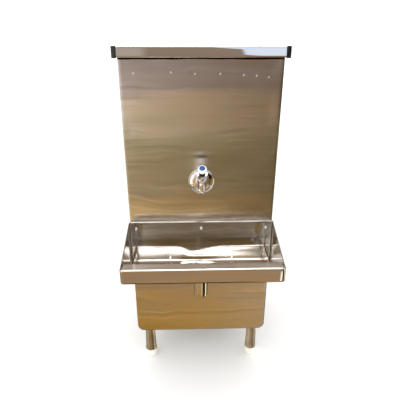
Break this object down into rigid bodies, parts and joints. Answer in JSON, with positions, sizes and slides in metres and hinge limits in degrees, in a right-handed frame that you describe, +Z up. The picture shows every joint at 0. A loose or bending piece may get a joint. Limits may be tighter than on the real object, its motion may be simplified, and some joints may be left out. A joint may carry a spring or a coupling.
{
  "type": "drinking fountain",
  "caption": "Free-standing steel drinking water cooler with a push tap over a wall-to-wall drip tray, lift-off insulated lid, louvred casing and tapered legs.",
  "frame": {"origin": "on the floor under the middle of the whole footprint, tray and rear fittings included", "axes": "+Z up, -Y towards the tap and drip tray (front), +X to the right as seen from the front"},
  "size_m": [0.528, 0.716, 1.2],
  "materials": {
    "stainless": "satin",
    "bright_steel": "polished",
    "galvanised": "satin",
    "painted_steel": "satin",
    "grey_paint": "satin",
    "chrome": "polished",
    "brass": "satin",
    "copper": "satin",
    "aluminium": "satin",
    "foam": "matte",
    "white_plastic": "satin",
    "blue_plastic": "gloss",
    "black_plastic": "satin",
    "black_rubber": "matte"
  },
  "bodies": {
    "cabinet": {"front_panel": "stainless", "side_panel_left": "stainless", "side_panel_right": "stainless", "rear_panel_upper": "galvanised", "rear_panel_lower": "galvanised", "base_pan": "galvanised", "support_frame": "galvanised", "tank_shelf": "galvanised", "panel_screws": "galvanised", "leg_tubes": "stainless", "frame_bolts": "galvanised", "lid_gasket": "black_rubber", "tank": "bright_steel", "tank_insulation": "foam", "evaporator_coil": "copper", "inlet_pipe": "chrome", "float_valve_body": "brass", "float_pin": "chrome", "tank_locknuts": "brass", "tank_drain_pipe": "chrome", "tank_drain_plug": "chrome", "tap_flange": "chrome", "tap_body": "chrome", "tap_bonnet": "chrome", "tap_spring": "chrome", "drip_tray": "bright_steel", "tray_screws": "galvanised", "waste_coupling": "bright_steel", "waste_nut": "brass", "drain_spout": "stainless", "compressor": "painted_steel", "compressor_grommets": "black_rubber", "relay_cover": "black_plastic", "condenser_coil": "copper", "condenser_fins": "aluminium", "fan_shroud": "galvanised", "fan_bracket": "galvanised", "fan_motor": "grey_paint", "filter_drier": "copper", "refrigerant_lines": "copper", "thermostat_body": "white_plastic", "power_cord": "black_rubber"},
    "lid": {"lid_shell": "bright_steel", "lid_insulation": "foam", "lid_liner": "bright_steel", "lid_corner_caps": "black_plastic"},
    "push_button": {"tap_button": "white_plastic", "tap_index": "blue_plastic", "tap_spindle": "chrome", "tap_seat_washer": "black_rubber"},
    "float": {"float_arm": "brass", "float_ball": "white_plastic"},
    "plunger": {"float_plunger": "brass"},
    "fan": {"fan_blades": "aluminium", "fan_shaft": "chrome"},
    "thermostat_dial": {"thermostat_knob": "black_plastic"},
    "foot_front_left": {"foot_front_left": "white_plastic"},
    "foot_front_right": {"foot_front_right": "white_plastic"},
    "foot_rear_left": {"foot_rear_left": "white_plastic"},
    "foot_rear_right": {"foot_rear_right": "white_plastic"}
  },
  "joints": [
    {"name": "lid_lift", "type": "slide", "parent": "cabinet", "child": "lid", "axis": [0, 0, 1], "range_m": [0, 0.2]},
    {"name": "tap_push", "type": "slide", "parent": "cabinet", "child": "push_button", "axis": [0, 0.5592, -0.829], "range_m": [0, 0.006], "stiffness_N_per_m": 900, "springref_m": -0.009, "deforming": ["tap_spring"]},
    {"name": "float_swing", "type": "hinge", "parent": "cabinet", "child": "float", "pos_m": [0.09, 0.23, 1.112], "axis": [1, 0, 0], "range_deg": [0, 30], "stiffness_Nm_per_rad": 6, "springref_deg": -5.73},
    {"name": "plunger_slide", "type": "slide", "parent": "cabinet", "child": "plunger", "axis": [0, -1, 0], "range_m": [0, 0.0096]},
    {"name": "fan_spin", "type": "hinge", "parent": "cabinet", "child": "fan", "pos_m": [0, 0.23, 0.315], "axis": [0, 1, 0], "continuous": true},
    {"name": "thermostat_turn", "type": "hinge", "parent": "cabinet", "child": "thermostat_dial", "pos_m": [0.13, 0.331, 0.6], "axis": [0, 1, 0], "range_deg": [-140, 140]},
    {"name": "foot_front_left_screw", "type": "slide", "parent": "cabinet", "child": "foot_front_left", "axis": [0, 0, -1], "range_m": [0, 0.015]},
    {"name": "foot_front_right_screw", "type": "slide", "parent": "cabinet", "child": "foot_front_right", "axis": [0, 0, -1], "range_m": [0, 0.015]},
    {"name": "foot_rear_left_screw", "type": "slide", "parent": "cabinet", "child": "foot_rear_left", "axis": [0, 0, -1], "range_m": [0, 0.015]},
    {"name": "foot_rear_right_screw", "type": "slide", "parent": "cabinet", "child": "foot_rear_right", "axis": [0, 0, -1], "range_m": [0, 0.015]}
  ],
  "couplings": [
    {"joint": "plunger_slide", "follows": "float_swing", "m_per_rad": 0.018}
  ]
}
